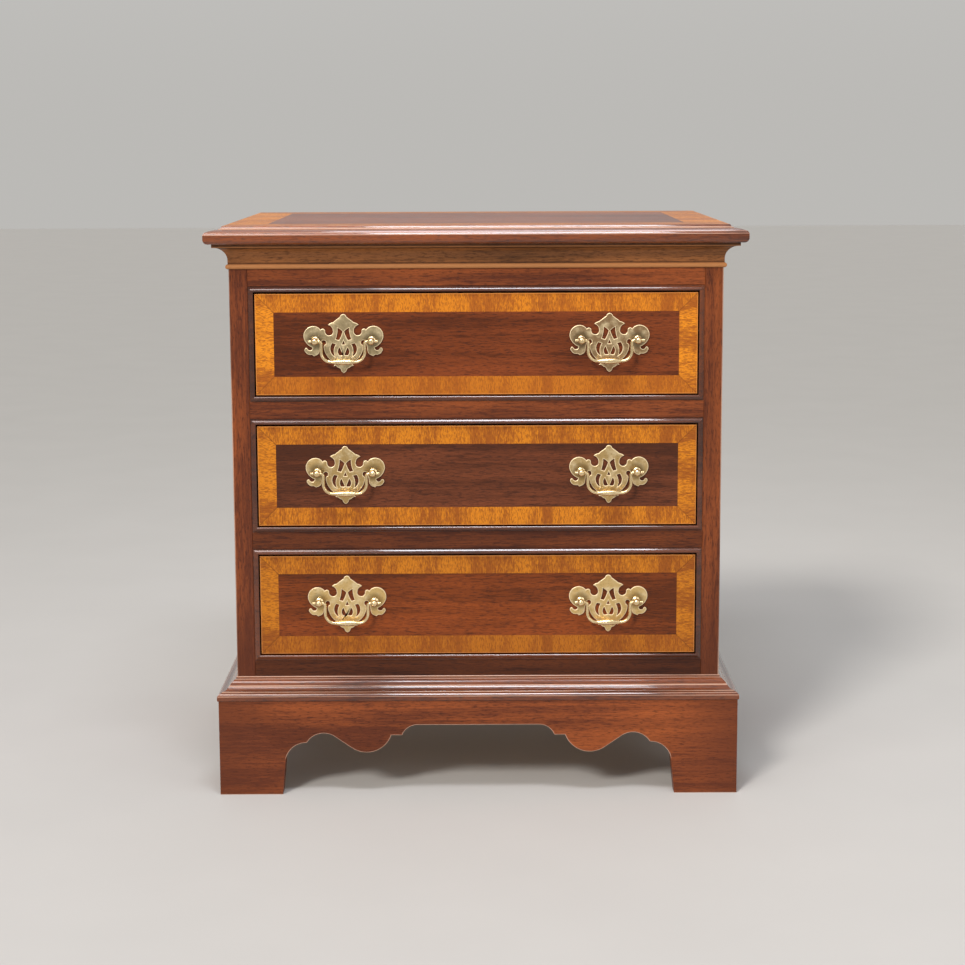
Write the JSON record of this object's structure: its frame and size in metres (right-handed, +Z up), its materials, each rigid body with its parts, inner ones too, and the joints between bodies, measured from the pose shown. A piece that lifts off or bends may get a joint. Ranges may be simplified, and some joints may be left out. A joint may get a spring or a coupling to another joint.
{
  "type": "nightstand with drawers",
  "caption": "Bedside chest with a moulded overhanging top, banded sliding drawers with swinging bail pulls, and a scrolled bracket base.",
  "frame": {"origin": "on the floor under the middle of the top", "axes": "+Z up, the drawer fronts face -Y, +X to the right seen from the front"},
  "size_m": [0.606, 0.41, 0.654],
  "materials": {
    "mahogany": "satin lacquer",
    "crossbanding": "satin lacquer",
    "inner_wood": "bare, sealed",
    "thin_panel": "bare plywood",
    "antique_brass": "aged, lacquered"
  },
  "bodies": {
    "case": {"bottom_rail": "mahogany", "lower_divider_rail": "mahogany", "upper_divider_rail": "mahogany", "top_rail": "mahogany", "right_stile": "mahogany", "left_stile": "mahogany", "right_side_panel": "mahogany", "left_side_panel": "mahogany", "right_bracket": "mahogany", "left_bracket": "mahogany", "front_bracket": "mahogany", "rear_feet": "inner_wood", "glue_blocks": "inner_wood", "back_panel": "thin_panel", "bottom_board": "inner_wood", "top_cleats": "inner_wood", "top_panel": "mahogany", "top_banding": "crossbanding", "drawer_runners": "inner_wood", "drawer_stops": "inner_wood", "dust_panels": "thin_panel", "top_moulding_front": "mahogany", "top_moulding_left": "mahogany", "top_moulding_right": "mahogany", "cornice_front": "mahogany", "cornice_left": "mahogany", "cornice_right": "mahogany", "base_moulding_front": "mahogany", "base_moulding_left": "mahogany", "base_moulding_right": "mahogany", "lower_opening_bead": "mahogany", "middle_opening_bead": "mahogany", "upper_opening_bead": "mahogany"},
    "lower_drawer": {"lower_drawer_front": "mahogany", "lower_drawer_banding": "crossbanding", "lower_drawer_sides": "inner_wood", "lower_drawer_back": "inner_wood", "lower_drawer_bottom": "thin_panel", "lower_drawer_backplates": "antique_brass", "lower_drawer_posts": "antique_brass"},
    "lower_left_bail": {"lower_left_bail": "antique_brass"},
    "lower_right_bail": {"lower_right_bail": "antique_brass"},
    "middle_drawer": {"middle_drawer_front": "mahogany", "middle_drawer_banding": "crossbanding", "middle_drawer_sides": "inner_wood", "middle_drawer_back": "inner_wood", "middle_drawer_bottom": "thin_panel", "middle_drawer_backplates": "antique_brass", "middle_drawer_posts": "antique_brass"},
    "middle_left_bail": {"middle_left_bail": "antique_brass"},
    "middle_right_bail": {"middle_right_bail": "antique_brass"},
    "upper_drawer": {"upper_drawer_front": "mahogany", "upper_drawer_banding": "crossbanding", "upper_drawer_sides": "inner_wood", "upper_drawer_back": "inner_wood", "upper_drawer_bottom": "thin_panel", "upper_drawer_backplates": "antique_brass", "upper_drawer_posts": "antique_brass"},
    "upper_left_bail": {"upper_left_bail": "antique_brass"},
    "upper_right_bail": {"upper_right_bail": "antique_brass"}
  },
  "joints": [
    {"name": "lower_drawer_slide", "type": "slide", "parent": "case", "child": "lower_drawer", "axis": [0, -1, 0], "range_m": [0, 0.27]},
    {"name": "middle_drawer_slide", "type": "slide", "parent": "case", "child": "middle_drawer", "axis": [0, -1, 0], "range_m": [0, 0.27]},
    {"name": "upper_drawer_slide", "type": "slide", "parent": "case", "child": "upper_drawer", "axis": [0, -1, 0], "range_m": [0, 0.27]},
    {"name": "lower_left_bail_swing", "type": "hinge", "parent": "lower_drawer", "child": "lower_left_bail", "pos_m": [-0.15, -0.191, 0.2236], "axis": [-1, 0, 0], "range_deg": [-15, 100]},
    {"name": "lower_right_bail_swing", "type": "hinge", "parent": "lower_drawer", "child": "lower_right_bail", "pos_m": [0.15, -0.191, 0.2236], "axis": [-1, 0, 0], "range_deg": [-15, 100]},
    {"name": "middle_left_bail_swing", "type": "hinge", "parent": "middle_drawer", "child": "middle_left_bail", "pos_m": [-0.15, -0.191, 0.3741], "axis": [-1, 0, 0], "range_deg": [-15, 100]},
    {"name": "middle_right_bail_swing", "type": "hinge", "parent": "middle_drawer", "child": "middle_right_bail", "pos_m": [0.15, -0.191, 0.3741], "axis": [-1, 0, 0], "range_deg": [-15, 100]},
    {"name": "upper_left_bail_swing", "type": "hinge", "parent": "upper_drawer", "child": "upper_left_bail", "pos_m": [-0.15, -0.191, 0.5246], "axis": [-1, 0, 0], "range_deg": [-15, 100]},
    {"name": "upper_right_bail_swing", "type": "hinge", "parent": "upper_drawer", "child": "upper_right_bail", "pos_m": [0.15, -0.191, 0.5246], "axis": [-1, 0, 0], "range_deg": [-15, 100]}
  ]
}
